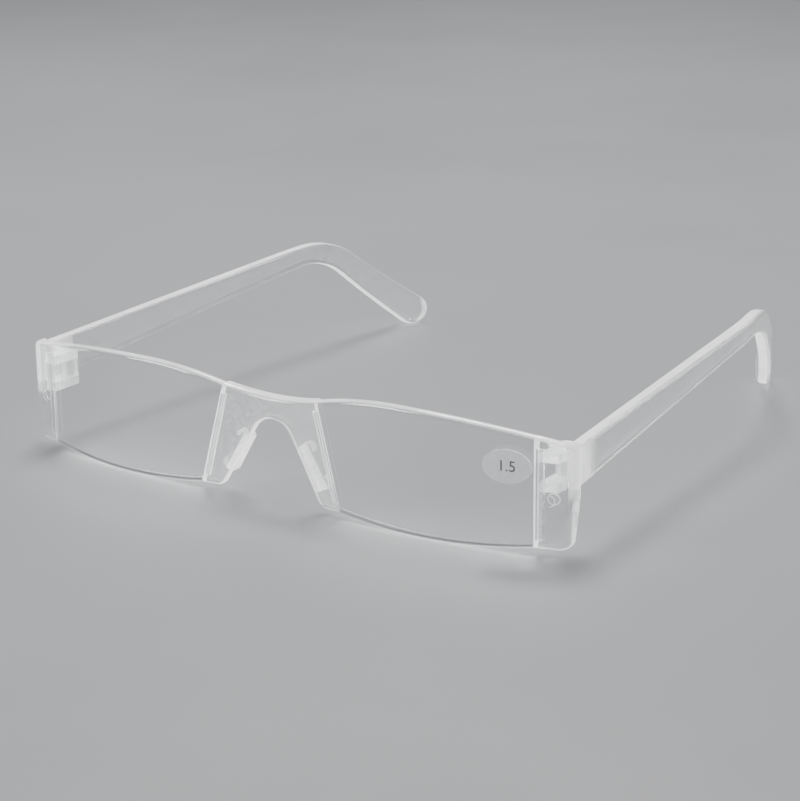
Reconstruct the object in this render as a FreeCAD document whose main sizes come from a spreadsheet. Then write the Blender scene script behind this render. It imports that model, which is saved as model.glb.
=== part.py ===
import FreeCAD, Part
import math
import os
import re

import Sketcher

# Clear one-piece-look reading glasses, open, standing on the lens bottoms and the temple tips.
# +X is the wearer's left, -Y is the way the lenses face and +Z is up.

SIZES = {
    # overall
    "half_width": 67.8,
    "half_depth": 64.809,
    "plate": 2.4,
    "edge_round": 1.1,
    "bond_gap": 0.03,
    "reach": 40.0,
    # plan view: bridge bow, lens curve and the corner that wraps to the side
    "bow_radius": 80.0,
    "bow_angle": 7.9,
    "lens_radius": 125.0,
    "bridge_end_angle": -2.0,
    "lens_end_angle": 16.2,
    "wrap_start_angle": 12.0,
    "wrap_radius": 2.8,
    "butt_y": 7.2,
    # front view: upper and lower lines of the front
    "seam_top_x": 11.35,
    "seam_top_z": 23.8,
    "seam_foot_x": 17.15,
    "seam_foot_z": 1.45,
    "bridge_top_radius": 55.0,
    "peak_x": 31.0,
    "peak_z": 26.45,
    "end_seam_x": 60.35,
    "end_top_z": 24.1,
    "end_foot_z": 1.45,
    "end_corner": 3.6,
    "end_overhang": 0.4,
    # side view: the wall of the end piece is cut back towards its foot
    "wall_foot_y": 5.2,
    "wall_rear_z": 13.6,
    # nose arch
    "arch_top_z": 17.7,
    "arch_radius": 5.2,
    "flank_angle": 30.0,
    "lobe_radius": 2.6,
    # bonded tongues of the lenses
    "tongue_thick": 0.9,
    "tongue_low_z": 3.2,
    "tongue_high_z": 21.6,
    "tongue_root": 0.5,
    "bridge_tongue": 1.0,
    "bridge_tongue_y": 0.07,
    "end_tongue": 1.5,
    "end_tongue_y": 3.6,
    # nose pads
    "pad_z": 8.3,
    "pad_half_length": 4.2,
    "pad_half_thick": 0.85,
    "pad_inset": 0.1,
    "pad_front_y": 1.0,
    "pad_depth": 2.8,
    "pad_round": 0.6,
    # hinges
    "hinge_x": 62.2,
    "hinge_y": 11.4,
    "knuckle_radius": 1.8,
    "knuckle_root_y": 4.5,
    "low_knuckle_z": 12.8,
    "low_knuckle": 1.9,
    "mid_knuckle": 3.8,
    "high_knuckle": 1.9,
    "knuckle_gap": 0.1,
    "pin_radius": 0.6,
    "pin_clearance": 0.04,
    "mark_radius": 1.1,
    "mark_depth": 0.8,
    "mark_x": 63.2,
    "mark_y": 5.28,
    "mark_z": 11.55,
    "mark_turn": 16.5,
    # temples
    "temple_gap": 0.06,
    "temple_thick": 3.1,
    "temple_round": 1.2,
    "toe_angle": 3.4,
    "temple_straight": 80.0,
    "tip_curve_radius": 98.0,
    "tip_curve_angle": 34.0,
    "butt_top_z": 22.35,
    "butt_foot_z": 13.5,
    "top_rise_angle": 2.3,
    "top_straight": 90.0,
    "ear_radius": 24.0,
    "drop_angle": 38.0,
    "tip_radius": 3.7,
    "tip_taper_angle": 3.5,
    "foot_rise_angle": 4.8,
    "inner_ear_radius": 17.0,
    # power label
    "label_thick": 0.12,
    "label_x": 55.1,
    "label_z": 17.7,
    "label_half_length": 4.9,
    "label_half_height": 3.45,
}

SKETCH_UP = FreeCAD.Vector(0, 1, 0)
LENS_X = "(bow_radius + lens_radius) * sin(bow_angle * 1deg)"
LENS_Y = "(bow_radius + lens_radius) * cos(bow_angle * 1deg) - bow_radius"
BACK_RADIUS = "lens_radius - plate"

LINE = 0
LEFT = 1
RIGHT = -1


def make_sheet(doc):
    """Write the driving dimensions into the spreadsheet, one alias per row."""
    sheet = doc.addObject("Spreadsheet::Sheet", "Sizes")
    for row, (alias, value) in enumerate(SIZES.items(), start=1):
        sheet.set(f"A{row}", alias)
        sheet.set(f"B{row}", str(value))
        sheet.setAlias(f"B{row}", alias)
    doc.recompute()
    return sheet


def bound(text):
    """Point every size named in an expression at its cell in the spreadsheet."""
    return re.sub(r"[a-z]+(?:_[a-z]+)*", lambda word: f"Sizes.{word[0]}" if word[0] in SIZES else word[0], text)


def value_of(owner, text):
    return float(owner.evalExpression(bound(text)))


def flipped(path):
    """Mirror a path in the YZ plane: change every first coordinate's sign and every turn."""
    return [(f"-({first})", second, turn * -1, radius) for first, second, turn, radius in path]


def sided(path, side):
    return path if side > 0 else flipped(path)


# ---------------------------------------------------------------- sketches

def arc_between(start, end, radius, turn):
    """The short arc from start to end that bends to the left or to the right."""
    chord = end - start
    rise = math.sqrt(max(radius ** 2 - (chord.Length / 2) ** 2, 0.0))
    across = FreeCAD.Vector(-chord.y, chord.x, 0).normalize()
    centre = (start + end) / 2 + across * rise * turn
    first, last = (start, end) if turn == LEFT else (end, start)
    angles = [math.atan2(point.y - centre.y, point.x - centre.x) for point in (first, last)]
    circle = Part.Circle(centre, FreeCAD.Vector(0, 0, 1), radius)
    return Part.ArcOfCircle(circle, angles[0], angles[1])


def draw_path(sketch, path):
    """Draw a closed path of lines and arcs and bind its corners and radii to the sheet.

    Each step is (first coordinate, second coordinate, turn, radius) of the corner that it ends at.
    """
    corners = [FreeCAD.Vector(value_of(sketch, step[0]), value_of(sketch, step[1]), 0) for step in path]
    ends = []
    for index, (first, second, turn, radius) in enumerate(path):
        start = corners[index - 1]
        if turn == LINE:
            curve = sketch.addGeometry(Part.LineSegment(start, corners[index]), False)
        else:
            arc = arc_between(start, corners[index], value_of(sketch, radius), turn)
            curve = sketch.addGeometry(arc, False)
            bind(sketch, Sketcher.Constraint("Radius", curve, value_of(sketch, radius)), radius)
        ends.append((curve, (1, 2) if turn != RIGHT else (2, 1)))
    for index, (first, second, _, _) in enumerate(path):
        curve, (_, end) = ends[index]
        after, (begin, _) = ends[(index + 1) % len(path)]
        sketch.addConstraint(Sketcher.Constraint("Coincident", curve, end, after, begin))
        bind(sketch, Sketcher.Constraint("DistanceX", curve, end, corners[index].x), first)
        bind(sketch, Sketcher.Constraint("DistanceY", curve, end, corners[index].y), second)


def bind(sketch, constraint, text):
    number = sketch.addConstraint(constraint)
    sketch.setExpression(f"Constraints[{number}]", bound(text))


def new_sketch(body, name, plane, offset="0"):
    """A sketch on one of the body's own planes, moved along the plane's normal."""
    sketch = body.newObject("Sketcher::SketchObject", name)
    support = [item for item in body.Origin.OriginFeatures if item.Role == plane][0]
    sketch.AttachmentSupport = [(support, "")]
    sketch.MapMode = "FlatFace"
    sketch.setExpression("AttachmentOffset.Base.z", bound(offset))
    return sketch


def box_path(first_low, first_high, second_low, second_high):
    return [
        (first_low, second_high, LINE, ""),
        (first_high, second_high, LINE, ""),
        (first_high, second_low, LINE, ""),
        (first_low, second_low, LINE, ""),
    ]


# ---------------------------------------------------------------- features

def new_body(doc, name):
    body = doc.addObject("PartDesign::Body", name)
    body.Label = name
    body.setExpression("Placement.Base.y", bound("-half_depth"))
    return body


def pad(body, sketch, length, symmetric=False):
    feature = body.newObject("PartDesign::Pad", f"{sketch.Name}_pad")
    feature.Profile = sketch
    feature.SideType = "Symmetric" if symmetric else "One side"
    feature.setExpression("Length", bound(length))
    body.Document.recompute()
    return feature


def cut_through(body, sketch):
    """Remove the sketch's area all the way through, and make sure that it removed something."""
    before = body.Shape.Volume
    feature = body.newObject("PartDesign::Pocket", f"{sketch.Name}_cut")
    feature.Profile = sketch
    feature.Type = "ThroughAll"
    feature.SideType = "Symmetric"
    body.Document.recompute()
    if not body.Shape.Volume < before:
        raise RuntimeError(f"{sketch.Label} cuts nothing from {body.Label}")
    return feature


def cut_depth(body, sketch, depth, symmetric=False):
    before = body.Shape.Volume
    feature = body.newObject("PartDesign::Pocket", f"{sketch.Name}_cut")
    feature.Profile = sketch
    feature.SideType = "Symmetric" if symmetric else "One side"
    feature.setExpression("Length", bound(depth))
    body.Document.recompute()
    if not body.Shape.Volume < before:
        raise RuntimeError(f"{sketch.Label} cuts nothing from {body.Label}")
    return feature


def keep_inside(body, name, plane, path):
    """Cut away everything outside an outline."""
    sketch = new_sketch(body, name, plane)
    draw_path(sketch, box_path("-half_width - reach", "half_width + 3 * reach", "-reach", "2 * reach"))
    draw_path(sketch, path)
    return cut_through(body, sketch)


def round_edges(body, chosen, radius):
    """Round the edges of the body's tip that a test picks out."""
    base = body.Tip
    names = [f"Edge{number}" for number, edge in enumerate(base.Shape.Edges, start=1) if chosen(edge)]
    feature = body.newObject("PartDesign::Fillet", f"{body.Name}_round")
    feature.Base = (base, names)
    feature.setExpression("Radius", bound(radius))
    body.Document.recompute()
    return feature


def along(edge, *axes):
    """Whether an edge is a straight line along one of the axes."""
    if not isinstance(edge.Curve, Part.Line):
        return False
    direction = edge.Curve.Direction
    return any(abs(getattr(direction, axis)) > 0.9999 for axis in axes)


# ---------------------------------------------------------------- shared plan curves

def lens_point(radius, angle):
    """A point on the lens curve's circles: the angle is 0 where the lens stands furthest forward."""
    return f"{LENS_X} + ({radius}) * sin({angle})", f"{LENS_Y} - ({radius}) * cos({angle})"


def lens_band(outer, inner, start, end):
    return [
        (*lens_point(outer, end), LEFT, outer),
        (*lens_point(inner, end), LINE, ""),
        (*lens_point(inner, start), RIGHT, inner),
        (*lens_point(outer, start), LINE, ""),
    ]


def bridge_band():
    """The bridge bows back between the lenses and takes the lens curve under each seam."""
    outer_end = lens_point("lens_radius", "bridge_end_angle * 1deg")
    inner_end = lens_point(BACK_RADIUS, "bridge_end_angle * 1deg")
    outer_join = lens_point("lens_radius", "-bow_angle * 1deg")
    inner_join = lens_point(BACK_RADIUS, "-bow_angle * 1deg")
    return [
        (f"-({outer_join[0]})", outer_join[1], LEFT, "lens_radius"),
        (*outer_join, RIGHT, "bow_radius"),
        (*outer_end, LEFT, "lens_radius"),
        (*inner_end, LINE, ""),
        (*inner_join, RIGHT, BACK_RADIUS),
        (f"-({inner_join[0]})", inner_join[1], LEFT, "bow_radius + plate"),
        (f"-({inner_end[0]})", inner_end[1], RIGHT, BACK_RADIUS),
        (f"-({outer_end[0]})", outer_end[1], LINE, ""),
    ]


def wrap_band():
    """The end piece carries the lens curve on, then turns a tight corner to the side."""
    angle = f"asin((half_width - wrap_radius - {LENS_X}) / (lens_radius - wrap_radius))"
    corner_y = f"{LENS_Y} - (lens_radius - wrap_radius) * cos({angle})"
    start = "wrap_start_angle * 1deg"
    return [
        (*lens_point("lens_radius", angle), LEFT, "lens_radius"),
        ("half_width", corner_y, LEFT, "wrap_radius"),
        ("half_width", "butt_y", LINE, ""),
        ("half_width - plate", "butt_y", LINE, ""),
        ("half_width - plate", corner_y, LINE, ""),
        (*lens_point(BACK_RADIUS, angle), RIGHT, "wrap_radius - plate"),
        (*lens_point(BACK_RADIUS, start), RIGHT, BACK_RADIUS),
        (*lens_point("lens_radius", start), LINE, ""),
    ]


# ---------------------------------------------------------------- front view outlines

def crown_radius(run, drop):
    """Radius of an arc that is level at one end and has dropped by so much at the other."""
    return f"(({run}) ^ 2 + ({drop}) ^ 2) / (2 * ({drop}))"


OUTER_CROWN = crown_radius("end_seam_x - peak_x", "peak_z - end_top_z")
FLANK_OFFSET = "(arch_radius + sin(flank_angle * 1deg) * (arch_top_z - arch_radius))"


def seam_x(z):
    slope = "(seam_foot_x - seam_top_x) / (seam_top_z - seam_foot_z)"
    return f"seam_top_x + (seam_top_z - ({z})) * {slope}"


def lens_outline():
    inner = crown_radius("peak_x - seam_top_x - bond_gap", "peak_z - seam_top_z")
    outer = crown_radius("end_seam_x - bond_gap - peak_x", "peak_z - end_top_z")
    foot = crown_radius("(end_seam_x - seam_foot_x) / 2 - bond_gap", "seam_foot_z")
    return [
        ("seam_top_x + bond_gap", "seam_top_z", LINE, ""),
        ("peak_x", "peak_z", RIGHT, inner),
        ("end_seam_x - bond_gap", "end_top_z", RIGHT, outer),
        ("end_seam_x - bond_gap", "end_foot_z", LINE, ""),
        ("seam_foot_x + bond_gap", "seam_foot_z", RIGHT, foot),
    ]


def half_arch():
    """From the foot of the right seam round the lobe and up the flank to the nose arch."""
    lift = "(seam_foot_z + lobe_radius)"
    lobe_x = f"({FLANK_OFFSET} + lobe_radius - sin(flank_angle * 1deg) * {lift}) / cos(flank_angle * 1deg)"
    flank_foot = (f"{lobe_x} - lobe_radius * cos(flank_angle * 1deg)",
                  f"{lift} - lobe_radius * sin(flank_angle * 1deg)")
    flank_top = ("arch_radius * cos(flank_angle * 1deg)",
                 "arch_top_z - arch_radius + arch_radius * sin(flank_angle * 1deg)")
    return [("seam_foot_x", "seam_foot_z"), (lobe_x, "seam_foot_z"), flank_foot, flank_top]


def bridge_outline():
    right = half_arch()
    left = [(f"-({x})", z) for x, z in reversed(right)]
    shapes = [(LINE, ""), (LINE, ""), (RIGHT, "lobe_radius"), (LINE, ""),
              (LEFT, "arch_radius"), (LINE, ""), (RIGHT, "lobe_radius"), (LINE, "")]
    path = [("seam_top_x", "seam_top_z", LEFT, "bridge_top_radius")]
    path += [(*point, *shape) for point, shape in zip(right + left, shapes)]
    path.append(("-seam_top_x", "seam_top_z", LINE, ""))
    return path


def end_outline():
    edge = "half_width + end_overhang"
    edge_top = f"peak_z - {OUTER_CROWN} + sqrt(({OUTER_CROWN}) ^ 2 - ({edge} - peak_x) ^ 2)"
    return [
        ("end_seam_x", "end_top_z", LINE, ""),
        (edge, edge_top, RIGHT, OUTER_CROWN),
        (edge, "end_foot_z + end_corner", LINE, ""),
        (f"{edge} - end_corner", "end_foot_z", RIGHT, "end_corner"),
        ("end_seam_x", "end_foot_z", LINE, ""),
    ]


def wall_outline():
    return [
        ("-reach / 2", "reach", LINE, ""),
        ("butt_y + 1", "reach", LINE, ""),
        ("butt_y + 1", "wall_rear_z + 4", LINE, ""),
        ("wall_foot_y", "seam_foot_z", LINE, ""),
        ("wall_foot_y", "-reach / 2", LINE, ""),
        ("-reach / 2", "-reach / 2", LINE, ""),
    ]


def tongue_path(low_tip, high_tip, low_root, high_root, gap):
    """The strip of a tongue, from its tip to a root inside the lens."""
    return [
        (low_tip, f"tongue_low_z - {gap}", LINE, ""),
        (high_tip, f"tongue_high_z + {gap}", LINE, ""),
        (high_root, f"tongue_high_z + {gap}", LINE, ""),
        (low_root, f"tongue_low_z - {gap}", LINE, ""),
    ]


def bridge_tongue(gap):
    low, high = seam_x("tongue_low_z"), seam_x("tongue_high_z")
    tip = f"bridge_tongue - {gap}"
    return tongue_path(f"{low} - {tip}", f"{high} - {tip}", f"{low} + tongue_root", f"{high} + tongue_root", gap)


def end_tongue(gap):
    tip = f"end_seam_x + end_tongue + {gap}"
    root = "end_seam_x - tongue_root"
    return tongue_path(tip, tip, root, root, gap)


# ---------------------------------------------------------------- pieces of the front

def rounded_plate(body, side, band, outline):
    """A plate that follows a plan curve and a front outline, with its free edges rounded."""
    plan = new_sketch(body, f"{body.Name}_plan", "XY_Plane")
    draw_path(plan, sided(band, side))
    pad(body, plan, "2 * reach", symmetric=True)
    keep_inside(body, f"{body.Name}_front", "XZ_Plane", sided(outline, side))
    joined = on_joint(body)
    round_edges(body, lambda edge: not along(edge, "x", "y", "z") and not joined(edge), "edge_round")


def on_joint(body):
    """A test for edges that lie in a bonded seam or on the face that the temple stops against."""
    top_x, foot_x = value_of(body, "seam_top_x"), value_of(body, "seam_foot_x")
    top_z, foot_z = value_of(body, "seam_top_z"), value_of(body, "seam_foot_z")
    end_x, butt_y = value_of(body, "end_seam_x"), value_of(body, "butt_y")
    slope = (foot_x - top_x) / (top_z - foot_z)
    near = 0.1

    def test(edge):
        points = [vertex.Point for vertex in edge.Vertexes]
        inner = all(abs(abs(point.x) - top_x - (top_z - point.z) * slope) < near for point in points)
        outer = all(abs(abs(point.x) - end_x) < near for point in points)
        butt = all(abs(point.y - butt_y) < near for point in points)
        return inner or outer or butt

    return test


def cut_groove(body, name, path, side, seat_y):
    """Sink the groove of one tongue, a bond gap larger than the tongue all round."""
    groove = new_sketch(body, name, "XZ_Plane", f"-({seat_y})")
    draw_path(groove, sided(path, side))
    cut_depth(body, groove, "tongue_thick + 2 * bond_gap", symmetric=True)


def add_tongue(body, name, path, side, seat_y):
    tongue = new_sketch(body, name, "XZ_Plane", f"-({seat_y})")
    draw_path(tongue, sided(path, side))
    pad(body, tongue, "tongue_thick", symmetric=True)


def make_bridge(doc):
    body = new_body(doc, "front_bridge")
    rounded_plate(body, 1, bridge_band(), bridge_outline())
    cut_groove(body, "left_groove", bridge_tongue("bond_gap"), 1, "bridge_tongue_y")
    cut_groove(body, "right_groove", bridge_tongue("bond_gap"), -1, "bridge_tongue_y")
    return body


def make_lens(doc, name, side):
    body = new_body(doc, f"lens_{name}")
    band = lens_band("lens_radius", BACK_RADIUS, "-bow_angle * 1deg", "lens_end_angle * 1deg")
    rounded_plate(body, side, band, lens_outline())
    add_tongue(body, f"{name}_inner_tongue", bridge_tongue("0"), side, "bridge_tongue_y")
    add_tongue(body, f"{name}_outer_tongue", end_tongue("0"), side, "end_tongue_y")
    return body


def knuckle_path():
    """A half-round knuckle on a root that runs forward into the end piece."""
    return [
        ("hinge_x + knuckle_radius", "hinge_y", LINE, ""),
        ("hinge_x", "hinge_y + knuckle_radius", LEFT, "knuckle_radius"),
        ("hinge_x - knuckle_radius", "hinge_y", LEFT, "knuckle_radius"),
        ("hinge_x - knuckle_radius", "knuckle_root_y", LINE, ""),
        ("hinge_x + knuckle_radius", "knuckle_root_y", LINE, ""),
    ]


def draw_circle(sketch, x, y, radius):
    centre = FreeCAD.Vector(value_of(sketch, x), value_of(sketch, y), 0)
    size = value_of(sketch, radius)
    circle = sketch.addGeometry(Part.Circle(centre, FreeCAD.Vector(0, 0, 1), size), False)
    bind(sketch, Sketcher.Constraint("Radius", circle, size), radius)
    bind(sketch, Sketcher.Constraint("DistanceX", circle, 3, centre.x), x)
    bind(sketch, Sketcher.Constraint("DistanceY", circle, 3, centre.y), y)


def drill(body, name, x, y, radius):
    """A round hole up through the knuckles."""
    sketch = new_sketch(body, name, "XY_Plane")
    draw_circle(sketch, x, y, radius)
    cut_through(body, sketch)


def make_end_piece(doc, name, side):
    body = new_body(doc, f"end_piece_{name}")
    rounded_plate(body, side, wrap_band(), end_outline())
    keep_inside(body, f"{name}_wall", "YZ_Plane", wall_outline())
    cut_groove(body, f"{name}_groove", end_tongue("bond_gap"), side, "end_tongue_y")
    knuckles = [("low_knuckle_z", "low_knuckle"),
                ("low_knuckle_z + low_knuckle + mid_knuckle + 2 * knuckle_gap", "high_knuckle")]
    for number, (low_z, height) in enumerate(knuckles, start=1):
        sketch = new_sketch(body, f"{name}_knuckle_{number}", "XY_Plane", low_z)
        draw_path(sketch, sided(knuckle_path(), side))
        pad(body, sketch, height)
    across = "" if side > 0 else "-"
    drill(body, f"{name}_end_bore", f"{across}hinge_x", "hinge_y", "pin_radius")
    mark = new_sketch(body, f"{name}_mark", "XZ_Plane", "-mark_y")
    mark.AttachmentOffset = FreeCAD.Placement(mark.AttachmentOffset.Base, FreeCAD.Rotation(SKETCH_UP, 1))
    mark.setExpression("AttachmentOffset.Rotation.Angle", bound(f"{across}mark_turn * 1deg"))
    mark.setExpression("AttachmentOffset.Base.x", bound(f"{across}mark_x"))
    mark.setExpression("AttachmentOffset.Base.y", bound("mark_z"))
    draw_circle(mark, "0", "0", "mark_radius")
    cut_depth(body, mark, "mark_depth")
    return body


# ---------------------------------------------------------------- nose pads and pins

def pad_path():
    """A bar with round ends that runs along the flank of the nose arch."""
    lean_x, lean_z = "cos(flank_angle * 1deg)", "sin(flank_angle * 1deg)"
    flank_x = f"({FLANK_OFFSET} - {lean_z} * pad_z) / {lean_x}"
    offset = "(pad_half_thick + pad_inset)"
    centre = (f"{flank_x} + {offset} * {lean_x}", f"pad_z + {offset} * {lean_z}")

    def spot(up, out):
        x = f"{centre[0]} - ({up}) * {lean_z} + ({out}) * {lean_x}"
        z = f"{centre[1]} + ({up}) * {lean_x} + ({out}) * {lean_z}"
        return x, z

    end = "pad_half_length + pad_half_thick"
    return [
        (*spot("pad_half_length", "-pad_half_thick"), LINE, ""),
        (*spot(end, "0"), RIGHT, "pad_half_thick"),
        (*spot("pad_half_length", "pad_half_thick"), RIGHT, "pad_half_thick"),
        (*spot("-pad_half_length", "pad_half_thick"), LINE, ""),
        (*spot(f"-({end})", "0"), RIGHT, "pad_half_thick"),
        (*spot("-pad_half_length", "-pad_half_thick"), RIGHT, "pad_half_thick"),
    ]


def make_nose_pad(doc, name, side):
    """The pad starts on the back of the bridge and stands back from it."""
    body = new_body(doc, f"nose_pad_{name}")
    bar = new_sketch(body, f"{name}_pad_outline", "XZ_Plane", "-(pad_front_y + pad_depth)")
    draw_path(bar, sided(pad_path(), side))
    pad(body, bar, "pad_depth")
    rear = value_of(body, "pad_front_y + pad_depth")
    round_edges(body, lambda edge: all(abs(point.Point.y - rear) < 0.01 for point in edge.Vertexes), "pad_round")
    seat = new_sketch(body, f"{name}_pad_seat", "XY_Plane")
    draw_path(seat, bridge_band())
    cut_through(body, seat)
    return body


def make_pin(doc, name, side):
    pin = doc.addObject("Part::Cylinder", f"hinge_pin_{name}")
    pin.Label = f"hinge_pin_{name}"
    pin.setExpression("Radius", bound("pin_radius"))
    pin.setExpression("Height", bound("low_knuckle + mid_knuckle + high_knuckle + 2 * knuckle_gap"))
    pin.setExpression("Placement.Base.x", bound("hinge_x" if side > 0 else "-hinge_x"))
    pin.setExpression("Placement.Base.y", bound("hinge_y - half_depth"))
    pin.setExpression("Placement.Base.z", bound("low_knuckle_z"))
    return pin


# ---------------------------------------------------------------- temples

def temple_band():
    """Straight from the hinge with a little toe-in, then curving in towards the tip."""
    lean_x, lean_y = "sin(toe_angle * 1deg)", "cos(toe_angle * 1deg)"
    start_y = "butt_y + temple_gap"
    outer = (f"half_width - temple_straight * {lean_x}", f"{start_y} + temple_straight * {lean_y}")
    centre = (f"{outer[0]} - tip_curve_radius * {lean_y}", f"{outer[1]} - tip_curve_radius * {lean_x}")
    end = "((toe_angle + tip_curve_angle) * 1deg)"
    inner_radius = "(tip_curve_radius - temple_thick)"
    return [
        (*outer, LINE, ""),
        (f"{centre[0]} + tip_curve_radius * cos{end}", f"{centre[1]} + tip_curve_radius * sin{end}",
         LEFT, "tip_curve_radius"),
        (f"{centre[0]} + {inner_radius} * cos{end}", f"{centre[1]} + {inner_radius} * sin{end}", LINE, ""),
        (f"{outer[0]} - temple_thick * {lean_y}", f"{outer[1]} - temple_thick * {lean_x}", RIGHT, inner_radius),
        (f"half_width - temple_thick / {lean_y}", start_y, LINE, ""),
        ("half_width", start_y, LINE, ""),
    ]


def temple_outline():
    """Side view of a temple: it rises to the ear bend, then drops to a round tip on the ground."""
    rise, drop = "(top_rise_angle * 1deg)", "(drop_angle * 1deg)"
    under = "((drop_angle + tip_taper_angle) * 1deg)"
    foot_rise = "(foot_rise_angle * 1deg)"
    start_y = "(butt_y - 1)"
    bend = (f"({start_y} + top_straight * cos{rise})", f"(butt_top_z + top_straight * sin{rise})")
    drop_start = (f"({bend[0]} + ear_radius * (sin{rise} + sin{drop}))",
                  f"({bend[1]} - ear_radius * (cos{rise} - cos{drop}))")
    run = f"(({drop_start[1]} - tip_radius * (1 + cos{drop})) / sin{drop})"
    drop_end = (f"({drop_start[0]} + {run} * cos{drop})", f"({drop_start[1]} - {run} * sin{drop})")
    tip = (f"({drop_end[0]} - tip_radius * sin{drop})", "tip_radius")
    nose = (f"{tip[0]} + tip_radius * cos{drop}", f"{tip[1]} - tip_radius * sin{drop}")
    under_start = (f"({tip[0]} - tip_radius * sin{under})", f"({tip[1]} - tip_radius * cos{under})")
    turn = "((drop_angle + tip_taper_angle + foot_rise_angle) * 1deg)"
    along_foot = (f"((({under_start[0]} - {start_y}) * sin{under}"
                  f" + ({under_start[1]} - butt_foot_z) * cos{under}) / sin{turn})")
    corner = (f"({start_y} + {along_foot} * cos{foot_rise})", f"(butt_foot_z + {along_foot} * sin{foot_rise})")
    trim = f"(inner_ear_radius * tan({turn} / 2))"
    return [
        (start_y, "butt_top_z", LINE, ""),
        (*bend, LINE, ""),
        (*drop_start, RIGHT, "ear_radius"),
        (*drop_end, LINE, ""),
        (*nose, RIGHT, "tip_radius"),
        (*under_start, RIGHT, "tip_radius"),
        (f"{corner[0]} + {trim} * cos{under}", f"{corner[1]} - {trim} * sin{under}", LINE, ""),
        (f"{corner[0]} - {trim} * cos{foot_rise}", f"{corner[1]} - {trim} * sin{foot_rise}",
         LEFT, "inner_ear_radius"),
        (start_y, "butt_foot_z", LINE, ""),
    ]


def temple_knuckle_path():
    """The middle knuckle, on a root that runs sideways into the temple."""
    root_x = "half_width - temple_thick / 2"
    return [
        ("hinge_x", "hinge_y + knuckle_radius", LINE, ""),
        ("hinge_x - knuckle_radius", "hinge_y", LEFT, "knuckle_radius"),
        ("hinge_x", "hinge_y - knuckle_radius", LEFT, "knuckle_radius"),
        ("hinge_x + knuckle_radius", "hinge_y", LEFT, "knuckle_radius"),
        (root_x, "hinge_y", LINE, ""),
        (root_x, "hinge_y + knuckle_radius", LINE, ""),
    ]


def make_temple(doc, name, side):
    body = new_body(doc, f"temple_{name}")
    plan = new_sketch(body, f"temple_{name}_plan", "XY_Plane")
    draw_path(plan, sided(temple_band(), side))
    pad(body, plan, "2 * reach", symmetric=True)
    profile = new_sketch(body, f"temple_{name}_profile", "YZ_Plane")
    draw_path(profile, box_path("-reach", "5 * reach", "-reach", "2 * reach"))
    draw_path(profile, temple_outline())
    cut_through(body, profile)
    round_edges(body, lambda edge: not along(edge, "x", "z"), "temple_round")
    knuckle = new_sketch(body, f"temple_{name}_knuckle", "XY_Plane", "low_knuckle_z + low_knuckle + knuckle_gap")
    draw_path(knuckle, sided(temple_knuckle_path(), side))
    pad(body, knuckle, "mid_knuckle")
    across = "" if side > 0 else "-"
    drill(body, f"temple_{name}_bore", f"{across}hinge_x", "hinge_y", "pin_radius + pin_clearance")
    return body


# ---------------------------------------------------------------- power label

def draw_ellipse(sketch, x, y, half_length, half_height):
    centre = FreeCAD.Vector(value_of(sketch, x), value_of(sketch, y), 0)
    length, height = value_of(sketch, half_length), value_of(sketch, half_height)
    shape = Part.Ellipse(centre + FreeCAD.Vector(length, 0, 0), centre + FreeCAD.Vector(0, height, 0), centre)
    oval = sketch.addGeometry(shape, False)
    sketch.exposeInternalGeometry(oval)
    major, minor = oval + 1, oval + 2
    sketch.addConstraint(Sketcher.Constraint("Horizontal", major))
    bind(sketch, Sketcher.Constraint("Distance", major, 2 * length), f"2 * {half_length}")
    bind(sketch, Sketcher.Constraint("Distance", minor, 2 * height), f"2 * {half_height}")
    bind(sketch, Sketcher.Constraint("DistanceX", oval, 3, centre.x), x)
    bind(sketch, Sketcher.Constraint("DistanceY", oval, 3, centre.y), y)


def make_label(doc):
    """An oval paper label on the face of the left lens."""
    body = new_body(doc, "power_label")
    band = lens_band("lens_radius + label_thick", "lens_radius", "bow_angle * 1deg", "lens_end_angle * 1deg")
    plan = new_sketch(body, "label_plan", "XY_Plane")
    draw_path(plan, band)
    pad(body, plan, "2 * reach", symmetric=True)
    oval = new_sketch(body, "label_oval", "XZ_Plane")
    draw_path(oval, box_path("-half_width - reach", "half_width + 3 * reach", "-reach", "2 * reach"))
    draw_ellipse(oval, "label_x", "label_z", "label_half_length", "label_half_height")
    cut_through(body, oval)
    return body


# ---------------------------------------------------------------- document

def check(doc, parts):
    for item in doc.Objects:
        if "Invalid" in item.State or "Error" in item.State:
            raise RuntimeError(f"{item.Label} did not recompute: {item.State}")
    for part in parts:
        shape = part.Shape
        if shape.isNull() or not shape.isValid() or len(shape.Solids) != 1:
            raise RuntimeError(f"{part.Label} is not one valid solid")


def main():
    doc = FreeCAD.newDocument("glasses")
    make_sheet(doc)
    parts = [make_bridge(doc), make_label(doc)]
    for name, side in (("left", 1), ("right", -1)):
        for make in (make_lens, make_end_piece, make_nose_pad, make_pin, make_temple):
            parts.append(make(doc, name, side))
    doc.recompute()
    check(doc, parts)
    os.makedirs("parts", exist_ok=True)
    for part in parts:
        part.Shape.exportStep(f"parts/{part.Label}.step")


main()
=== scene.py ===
import math

import bmesh
import bpy
from mathutils import Matrix, Vector


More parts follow.
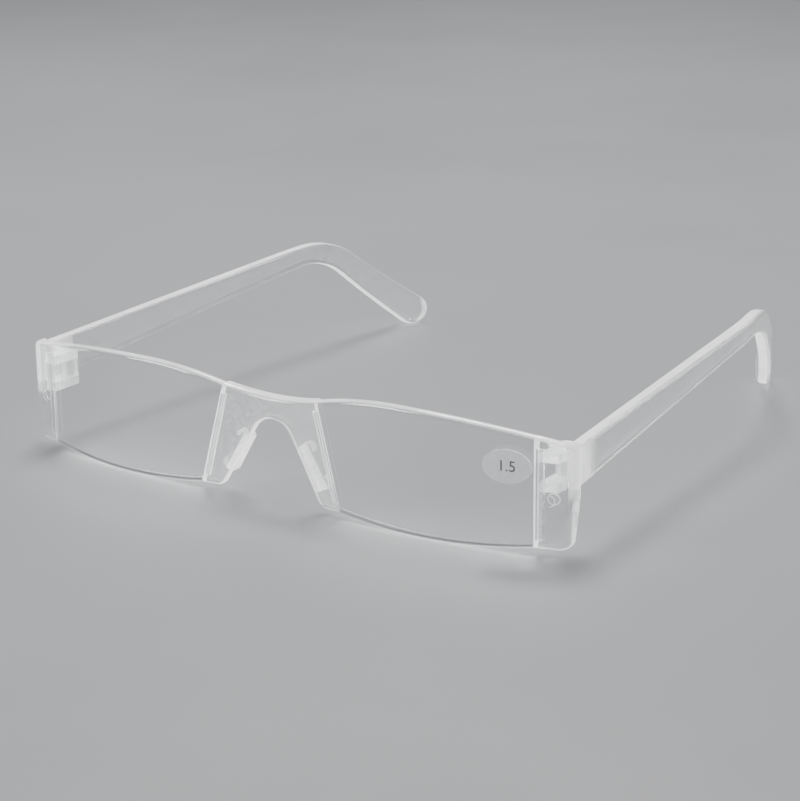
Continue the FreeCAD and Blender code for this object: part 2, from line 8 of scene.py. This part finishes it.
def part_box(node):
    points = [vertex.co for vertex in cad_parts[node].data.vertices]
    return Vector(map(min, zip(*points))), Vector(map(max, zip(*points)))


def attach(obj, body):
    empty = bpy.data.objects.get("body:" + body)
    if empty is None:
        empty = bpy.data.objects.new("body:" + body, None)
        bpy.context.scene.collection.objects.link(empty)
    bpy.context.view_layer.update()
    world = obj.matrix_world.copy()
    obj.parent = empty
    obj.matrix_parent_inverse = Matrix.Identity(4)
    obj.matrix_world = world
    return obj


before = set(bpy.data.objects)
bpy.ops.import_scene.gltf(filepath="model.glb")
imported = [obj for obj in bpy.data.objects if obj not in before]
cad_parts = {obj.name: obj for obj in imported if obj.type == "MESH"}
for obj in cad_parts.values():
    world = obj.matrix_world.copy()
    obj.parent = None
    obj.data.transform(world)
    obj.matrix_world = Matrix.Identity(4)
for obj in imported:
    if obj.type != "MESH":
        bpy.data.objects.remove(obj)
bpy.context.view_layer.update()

MM = 0.001


def middle(node):
    low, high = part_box(node)
    return (Vector(low) + Vector(high)) / 2


BRIDGE_FRONT_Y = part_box("front_bridge")[0][1]
SEAM_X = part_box("end_piece_left")[0][0]
BUTT_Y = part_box("temple_left")[0][1]

# The ejector mark's centre, as in the CAD.
RING_X = 63.2 * MM
RING_Z = 11.55 * MM

# From the seam to the outer side of the hinge knuckles, and to where their painted white highlight has
# faded.
KNUCKLE_OUTER = 4.4 * MM
KNUCKLE_FADED = 4.9 * MM


# ---------------------------------------------------------------- material building

class Nodes:
    """A new node material and short ways to add to it."""

    def __init__(self, name):
        self.material = bpy.data.materials.new(name)
        self.material.use_nodes = True
        self.tree = self.material.node_tree
        self.tree.nodes.clear()

    def add(self, kind, inputs=None, **settings):
        node = self.tree.nodes.new(kind)
        for key, value in settings.items():
            setattr(node, key, value)
        for key, value in (inputs or {}).items():
            if isinstance(value, bpy.types.NodeSocket):
                self.tree.links.new(value, node.inputs[key])
            else:
                node.inputs[key].default_value = value
        return node

    def math(self, operation, first, second=0.5):
        return self.add("ShaderNodeMath", {0: first, 1: second}, operation=operation).outputs[0]

    def spread(self, value, low, high, bottom=0.0, top=1.0):
        settings = {"Value": value, "From Min": low, "From Max": high, "To Min": bottom, "To Max": top}
        node = self.add("ShaderNodeMapRange", settings, interpolation_type="SMOOTHSTEP")
        return node.outputs["Result"]

    def place(self):
        return self.add("ShaderNodeTexCoord").outputs["Object"]

    def parts_of(self, vector):
        return self.add("ShaderNodeSeparateXYZ", {"Vector": vector}).outputs

    def noise(self, scale, detail=3.0, roughness=0.55):
        settings = {"Vector": self.place(), "Scale": scale, "Detail": detail, "Roughness": roughness}
        return self.add("ShaderNodeTexNoise", settings).outputs["Fac"]

    def bump(self, height, strength, distance):
        settings = {"Height": height, "Strength": strength, "Distance": distance}
        return self.add("ShaderNodeBump", settings).outputs["Normal"]

    def mix(self, factor, first, second):
        return self.add("ShaderNodeMixShader", {0: factor, 1: first, 2: second}).outputs[0]

    def finish(self, surface):
        self.add("ShaderNodeOutputMaterial", {"Surface": surface})
        return self.material


def facing(nodes, axis, low, high):
    """1 on faces that look along an axis of the piece, either way, and 0 on the others."""
    normal = nodes.parts_of(nodes.add("ShaderNodeTexCoord").outputs["Normal"])
    return nodes.spread(nodes.math("ABSOLUTE", normal[axis]), low, high)


def inverse(nodes, value):
    return nodes.math("SUBTRACT", 1.0, value)


def clear_plastic(name, tint, roughness, grain, haze, highlight_mask, highlight_amount, shade):
    """Clear moulded plastic: glass-like inside, with a fine white frosting haze and with painted white
    on its edges, a painted highlight for the light that rounded edges gather.

    grain is the strength of the fine bump, haze the most white away from the edges, the highlight
    amount the share of painted highlight white where the highlight mask is 1, and shade what a shadow
    ray keeps.
    """
    nodes = Nodes(name)
    clouds = nodes.noise(90.0, 2.0)
    fine = nodes.noise(2600.0, 2.0)
    normal = nodes.bump(fine, grain, 0.00004)
    clear = nodes.add("ShaderNodeBsdfPrincipled", {
        "Base Color": (*tint, 1.0),
        "Roughness": nodes.spread(clouds, 0.3, 0.7, roughness * 0.8, roughness * 1.2),
        "IOR": 1.585, "Transmission Weight": 1.0, "Normal": normal})
    bright = nodes.add("ShaderNodeBsdfPrincipled", {
        "Base Color": (0.96, 0.96, 0.95, 1.0), "Roughness": 0.17, "IOR": 1.55, "Normal": normal})
    glowing = nodes.add("ShaderNodeBsdfTranslucent", {"Color": (0.97, 0.97, 0.96, 1.0)})
    # The white for the frosting haze and, on the edges, for the painted highlight.
    frost_and_painted_glow = nodes.mix(0.45, bright.outputs[0], glowing.outputs[0])
    uneven = nodes.spread(clouds, 0.3, 0.7, 0.8, 1.0)
    # Painted highlight: the share of white on the edges, where the mask is 1.
    edge = nodes.math("MULTIPLY", nodes.math("MULTIPLY", highlight_mask(nodes), highlight_amount), uneven)
    speckle = nodes.spread(nodes.noise(1100.0, 2.0), 0.35, 0.7, 0.35, 1.0)
    amount = nodes.math("MAXIMUM", edge, nodes.math("MULTIPLY", speckle, haze))
    body = nodes.mix(amount, clear.outputs[0], frost_and_painted_glow)
    light_path = nodes.add("ShaderNodeLightPath")
    through = nodes.add("ShaderNodeBsdfTransparent", {"Color": (shade, shade, shade, 1.0)})
    return nodes.finish(nodes.mix(light_path.outputs["Is Shadow Ray"], body, through.outputs[0]))


def plate_edge_highlight(nodes):
    """Painted highlight: white on the rims and the seam faces of the bridge."""
    return inverse(nodes, facing(nodes, 1, 0.60, 0.93))


def lens_edge_highlight(nodes):
    """Painted highlight on the rims of a lens, whiter along the top than along the foot, as if lit from
    above.
    """
    z = nodes.parts_of(nodes.place())[2]
    rim = inverse(nodes, facing(nodes, 1, 0.60, 0.93))
    return nodes.math("MULTIPLY", rim, nodes.spread(z, 2.0 * MM, 12.0 * MM, 0.5, 1.0))


def ejector_ring_highlight(nodes, x, y, z):
    """A painted highlight: a white ring around the round ejector mark on the back of an end piece."""
    across = nodes.math("SUBTRACT", x, RING_X)
    up = nodes.math("SUBTRACT", z, RING_Z)
    square = nodes.math("ADD", nodes.math("MULTIPLY", across, across), nodes.math("MULTIPLY", up, up))
    radius = nodes.math("SQRT", square)
    inner = nodes.spread(radius, 0.96 * MM, 1.06 * MM)
    outer = nodes.spread(radius, 1.28 * MM, 1.18 * MM)
    back = nodes.math("MULTIPLY",
                      nodes.spread(y, BRIDGE_FRONT_Y + 4.3 * MM, BRIDGE_FRONT_Y + 4.7 * MM),
                      facing(nodes, 1, 0.75, 0.9))
    return nodes.math("MULTIPLY", nodes.math("MULTIPLY", inner, outer), back)


def end_piece_edge_highlight(nodes):
    """Painted highlight: white on the top, foot and seam faces, the rear face of the wall and the hinge
    knuckles.
    """
    x, y, z = nodes.parts_of(nodes.place())
    x = nodes.math("ABSOLUTE", x)
    rims = facing(nodes, 2, 0.25, 0.7)
    seam = nodes.spread(x, SEAM_X + 0.1 * MM, SEAM_X + 0.02 * MM)
    seam = nodes.math("MULTIPLY", seam, inverse(nodes, facing(nodes, 1, 0.2, 0.8)))
    ring = ejector_ring_highlight(nodes, x, y, z)
    rear = nodes.spread(y, BUTT_Y - 0.4 * MM, BUTT_Y - 0.1 * MM)
    knuckle = nodes.math("MULTIPLY",
                         nodes.spread(y, BUTT_Y - 1.3 * MM, BUTT_Y - 0.9 * MM),
                         nodes.spread(x, SEAM_X + KNUCKLE_FADED, SEAM_X + KNUCKLE_OUTER, 0.0, 0.28))
    mask = nodes.math("MAXIMUM", nodes.math("MAXIMUM", rims, seam), ring)
    return nodes.math("MAXIMUM", nodes.math("MAXIMUM", mask, rear), knuckle)


def temple_edge_highlight(nodes):
    """Painted highlight: white on the rims of a temple and, less white, on the thick block and knuckle
    at its hinge.
    """
    x, y, _ = nodes.parts_of(nodes.place())
    x = nodes.math("ABSOLUTE", x)
    outside = nodes.spread(x, SEAM_X + 3.7 * MM, SEAM_X + 4.1 * MM, 0.65, 1.0)
    behind = nodes.spread(y, BUTT_Y + 6.0 * MM, BUTT_Y + 7.0 * MM)
    rims = nodes.math("MULTIPLY",
                      inverse(nodes, facing(nodes, 0, 0.35, 0.78)),
                      nodes.math("MAXIMUM", outside, behind))
    block = nodes.spread(y, BUTT_Y + 7.5 * MM, BUTT_Y + 5.5 * MM, 0.0, 0.38)
    knuckle = nodes.math("MULTIPLY",
                         nodes.spread(x, SEAM_X + KNUCKLE_FADED, SEAM_X + KNUCKLE_OUTER, 0.0, 0.6),
                         nodes.spread(y, BUTT_Y + 7.0 * MM, BUTT_Y + 6.0 * MM))
    return nodes.math("MAXIMUM", nodes.math("MAXIMUM", rims, block), knuckle)


def pad_highlight(nodes):
    """Painted highlight: white over all of a pad, in soft clouds."""
    return nodes.spread(nodes.noise(300.0), 0.25, 0.6, 0.7, 1.0)


def pin_steel():
    nodes = Nodes("pin_steel")
    marks = nodes.noise(1500.0, 4.0)
    steel = nodes.add("ShaderNodeBsdfPrincipled", {
        "Base Color": (0.22, 0.22, 0.23, 1.0), "Metallic": 1.0,
        "Roughness": nodes.spread(marks, 0.3, 0.7, 0.22, 0.42),
        "Normal": nodes.bump(marks, 0.15, 0.00003)})
    return nodes.finish(steel.outputs[0])


def label_paper():
    nodes = Nodes("label_paper")
    fibres = nodes.noise(1200.0, 5.0)
    tone = nodes.add("ShaderNodeValToRGB", {"Fac": fibres})
    tone.color_ramp.elements[0].position = 0.3
    tone.color_ramp.elements[0].color = (0.66, 0.67, 0.68, 1.0)
    tone.color_ramp.elements[1].position = 0.7
    tone.color_ramp.elements[1].color = (0.76, 0.77, 0.78, 1.0)
    film = nodes.add("ShaderNodeBsdfPrincipled", {
        "Base Color": tone.outputs["Color"],
        "Roughness": nodes.spread(fibres, 0.3, 0.7, 0.38, 0.5)})
    return nodes.finish(film.outputs[0])


def label_ink():
    nodes = Nodes("label_ink")
    spots = nodes.noise(2500.0)
    tone = nodes.add("ShaderNodeValToRGB", {"Fac": spots})
    tone.color_ramp.elements[0].color = (0.05, 0.05, 0.055, 1.0)
    tone.color_ramp.elements[1].color = (0.11, 0.11, 0.115, 1.0)
    ink = nodes.add("ShaderNodeBsdfPrincipled", {"Base Color": tone.outputs["Color"], "Roughness": 0.5})
    return nodes.finish(ink.outputs[0])


def floor_paint():
    nodes = Nodes("floor_paint")
    patches = nodes.noise(6.0, 4.0)
    tone = nodes.add("ShaderNodeValToRGB", {"Fac": patches})
    tone.color_ramp.elements[0].color = (0.112, 0.114, 0.118, 1.0)
    tone.color_ramp.elements[1].color = (0.130, 0.132, 0.136, 1.0)
    paint = nodes.add("ShaderNodeBsdfPrincipled", {
        "Base Color": tone.outputs["Color"],
        "Roughness": nodes.spread(patches, 0.3, 0.7, 0.55, 0.7)})
    return nodes.finish(paint.outputs[0])


MATERIALS = {
    "bridge": clear_plastic(
        "frosted_clear", tint=(0.80, 0.81, 0.83), roughness=0.13, grain=0.30, haze=0.22,
        highlight_mask=plate_edge_highlight, highlight_amount=0.86, shade=0.74),
    "end_piece": clear_plastic(
        "frosted_clear_end", tint=(0.82, 0.83, 0.85), roughness=0.09, grain=0.25, haze=0.10,
        highlight_mask=end_piece_edge_highlight, highlight_amount=0.86, shade=0.74),
    "lens": clear_plastic(
        "lens_clear", tint=(0.95, 0.965, 0.975), roughness=0.01, grain=0.0, haze=0.0,
        highlight_mask=lens_edge_highlight, highlight_amount=0.90, shade=0.86),
    "temple": clear_plastic(
        "temple_clear", tint=(0.80, 0.81, 0.83), roughness=0.13, grain=0.25, haze=0.14,
        highlight_mask=temple_edge_highlight, highlight_amount=0.84, shade=0.70),
    "pad": clear_plastic(
        "pad_clear", tint=(0.98, 0.98, 0.97), roughness=0.05, grain=0.0, haze=0.2,
        highlight_mask=pad_highlight, highlight_amount=0.62, shade=0.80),
    "pin": pin_steel(),
    "label": label_paper(),
    "ink": label_ink(),
    "floor": floor_paint(),
}

FINISHES = {
    "front_bridge": "bridge",
    "lens_left": "lens",
    "lens_right": "lens",
    "end_piece_left": "end_piece",
    "end_piece_right": "end_piece",
    "nose_pad_left": "pad",
    "nose_pad_right": "pad",
    "temple_left": "temple",
    "temple_right": "temple",
    "hinge_pin_left": "pin",
    "hinge_pin_right": "pin",
    "power_label": "label",
}


def finish_nodes():
    """Give every CAD piece its material."""
    for name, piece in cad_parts.items():
        piece.data.materials.clear()
        piece.data.materials.append(MATERIALS[FINISHES[name]])


# ---------------------------------------------------------------- printed power on the label

LENS_RADIUS = 125.0 * MM
LENS_AXIS_X = 28.18 * MM            # where the axis of the left lens's curve stands
LABEL_THICK = 0.12 * MM
NUMERAL_HEIGHT = 3.1 * MM
INK_HALF_THICK = 0.012 * MM


def print_label():
    """Plain numerals that lie on the label and follow the curve of the lens."""
    curve = bpy.data.curves.new("label_numerals", "FONT")
    curve.body = "1.5"
    curve.size = NUMERAL_HEIGHT
    curve.align_x = "CENTER"
    curve.align_y = "CENTER"
    curve.extrude = INK_HALF_THICK
    flat = bpy.data.objects.new("label_numerals_flat", curve)
    bpy.context.scene.collection.objects.link(flat)
    bpy.context.view_layer.update()
    mesh = bpy.data.meshes.new_from_object(flat)
    bpy.data.objects.remove(flat)

    centre = middle("power_label")
    axis_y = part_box("lens_left")[0][1] + LENS_RADIUS
    start = math.asin((centre.x - LENS_AXIS_X) / LENS_RADIUS)
    for vertex in mesh.vertices:
        right, up, out = vertex.co
        radius = LENS_RADIUS + LABEL_THICK + INK_HALF_THICK + out
        angle = start + right / LENS_RADIUS
        vertex.co = (LENS_AXIS_X + radius * math.sin(angle),
                     axis_y - radius * math.cos(angle),
                     centre.z + up)
    numerals = bpy.data.objects.new("label_numerals", mesh)
    mesh.materials.clear()
    mesh.materials.append(MATERIALS["ink"])
    bpy.context.scene.collection.objects.link(numerals)
    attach(numerals, "front")


# ---------------------------------------------------------------- curled rims of the nose pads

PAD_TURN = math.radians(30.0)
PAD_RIM_INSET = 0.9 * MM            # from the back of the pad forward to the middle of its rim

# Along and across the pad, in millimetres: a flat run with a curl at each end.
PAD_CURL = [(-2.6, 2.2), (-3.6, 2.7), (-4.7, 2.2), (-5.0, 0.9), (-4.2, 0.0),
            (0.0, 0.0),
            (4.2, 0.0), (5.0, 0.9), (4.9, 2.1), (4.0, 2.7), (3.0, 2.3)]


def add_pad_rim(name, side):
    """The pad's rim curls outwards at both ends, behind the bridge."""
    curve = bpy.data.curves.new(f"nose_pad_rim_{name}", "CURVE")
    curve.dimensions = "2D"
    curve.fill_mode = "BOTH"
    curve.extrude = 0.45 * MM
    curve.bevel_depth = 0.33 * MM
    curve.bevel_resolution = 3
    curve.resolution_u = 8
    spline = curve.splines.new("NURBS")
    spline.points.add(len(PAD_CURL) - 1)
    spline.order_u = 3
    spline.use_endpoint_u = True
    up = Vector((-math.sin(PAD_TURN) * side, math.cos(PAD_TURN)))
    out = Vector((math.cos(PAD_TURN) * side, math.sin(PAD_TURN)))
    for point, (along, across) in zip(spline.points, PAD_CURL):
        spot = (up * along + out * across) * MM
        point.co = (spot.x, spot.y, 0.0, 1.0)
    # The rim wears the pad's finish, with its painted white highlight.
    curve.materials.append(MATERIALS["pad"])
    rim = bpy.data.objects.new(f"nose_pad_rim_{name}", curve)
    rim.location = middle(f"nose_pad_{name}")
    rim.location.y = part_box(f"nose_pad_{name}")[1][1] - PAD_RIM_INSET
    rim.rotation_euler = (math.radians(90.0), 0.0, 0.0)
    bpy.context.scene.collection.objects.link(rim)
    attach(rim, "front")


# ---------------------------------------------------------------- floor, light and camera

def add_floor():
    mesh = bpy.data.meshes.new("floor")
    build = bmesh.new()
    bmesh.ops.create_grid(build, x_segments=1, y_segments=1, size=6.0)
    build.to_mesh(mesh)
    build.free()
    mesh.materials.append(MATERIALS["floor"])
    floor = bpy.data.objects.new("floor", mesh)
    bpy.context.scene.collection.objects.link(floor)


def add_light(name, place, target, size, power):
    data = bpy.data.lights.new(name, "AREA")
    data.shape = "RECTANGLE"
    data.size, data.size_y = size
    data.energy = power
    lamp = bpy.data.objects.new(name, data)
    lamp.location = place
    lamp.rotation_euler = (Vector(place) - Vector(target)).to_track_quat("Z", "Y").to_euler()
    bpy.context.scene.collection.objects.link(lamp)


def add_lights():
    add_light("softbox_top", (-0.25, 0.35, 0.85), (0.0, 0.0, 0.0), (0.35, 0.3), 23.0)
    add_light("softbox_left", (-0.55, -0.75, 0.45), (0.0, 0.0, 0.01), (0.4, 0.4), 11.0)
    add_light("softbox_right", (0.95, 0.1, 0.45), (0.0, 0.0, 0.01), (0.3, 0.5), 9.0)
    world = bpy.data.worlds.new("studio")
    world.use_nodes = True
    world.node_tree.nodes["Background"].inputs["Color"].default_value = (0.80, 0.84, 0.90, 1.0)
    world.node_tree.nodes["Background"].inputs["Strength"].default_value = 0.32
    bpy.context.scene.world = world


CAMERA_AZIMUTH = 33.6
CAMERA_ELEVATION = 17.7
CAMERA_ROLL = -0.54
CAMERA_DISTANCE = 0.481
CAMERA_LENS = 105.4
AIM_FROM_BRIDGE = Vector((0.0179, 0.0200, 0.0067))


def add_camera():
    """A long lens from the wearer's front left, a little above the glasses."""
    azimuth, elevation = math.radians(CAMERA_AZIMUTH), math.radians(CAMERA_ELEVATION)
    backward = Vector((math.sin(azimuth) * math.cos(elevation),
                       -math.cos(azimuth) * math.cos(elevation),
                       math.sin(elevation)))
    data = bpy.data.cameras.new("camera")
    data.lens = CAMERA_LENS
    data.sensor_width = 36.0
    data.clip_start = 0.01
    data.clip_end = 20.0
    camera = bpy.data.objects.new("camera", data)
    camera.location = middle("front_bridge") + AIM_FROM_BRIDGE + backward * CAMERA_DISTANCE
    turn = backward.to_track_quat("Z", "Y").to_matrix()
    camera.rotation_euler = (turn @ Matrix.Rotation(math.radians(CAMERA_ROLL), 3, "Z")).to_euler()
    bpy.context.scene.collection.objects.link(camera)
    bpy.context.scene.camera = camera


finish_nodes()
print_label()
add_pad_rim("left", 1)
add_pad_rim("right", -1)
add_floor()
add_lights()
add_camera()
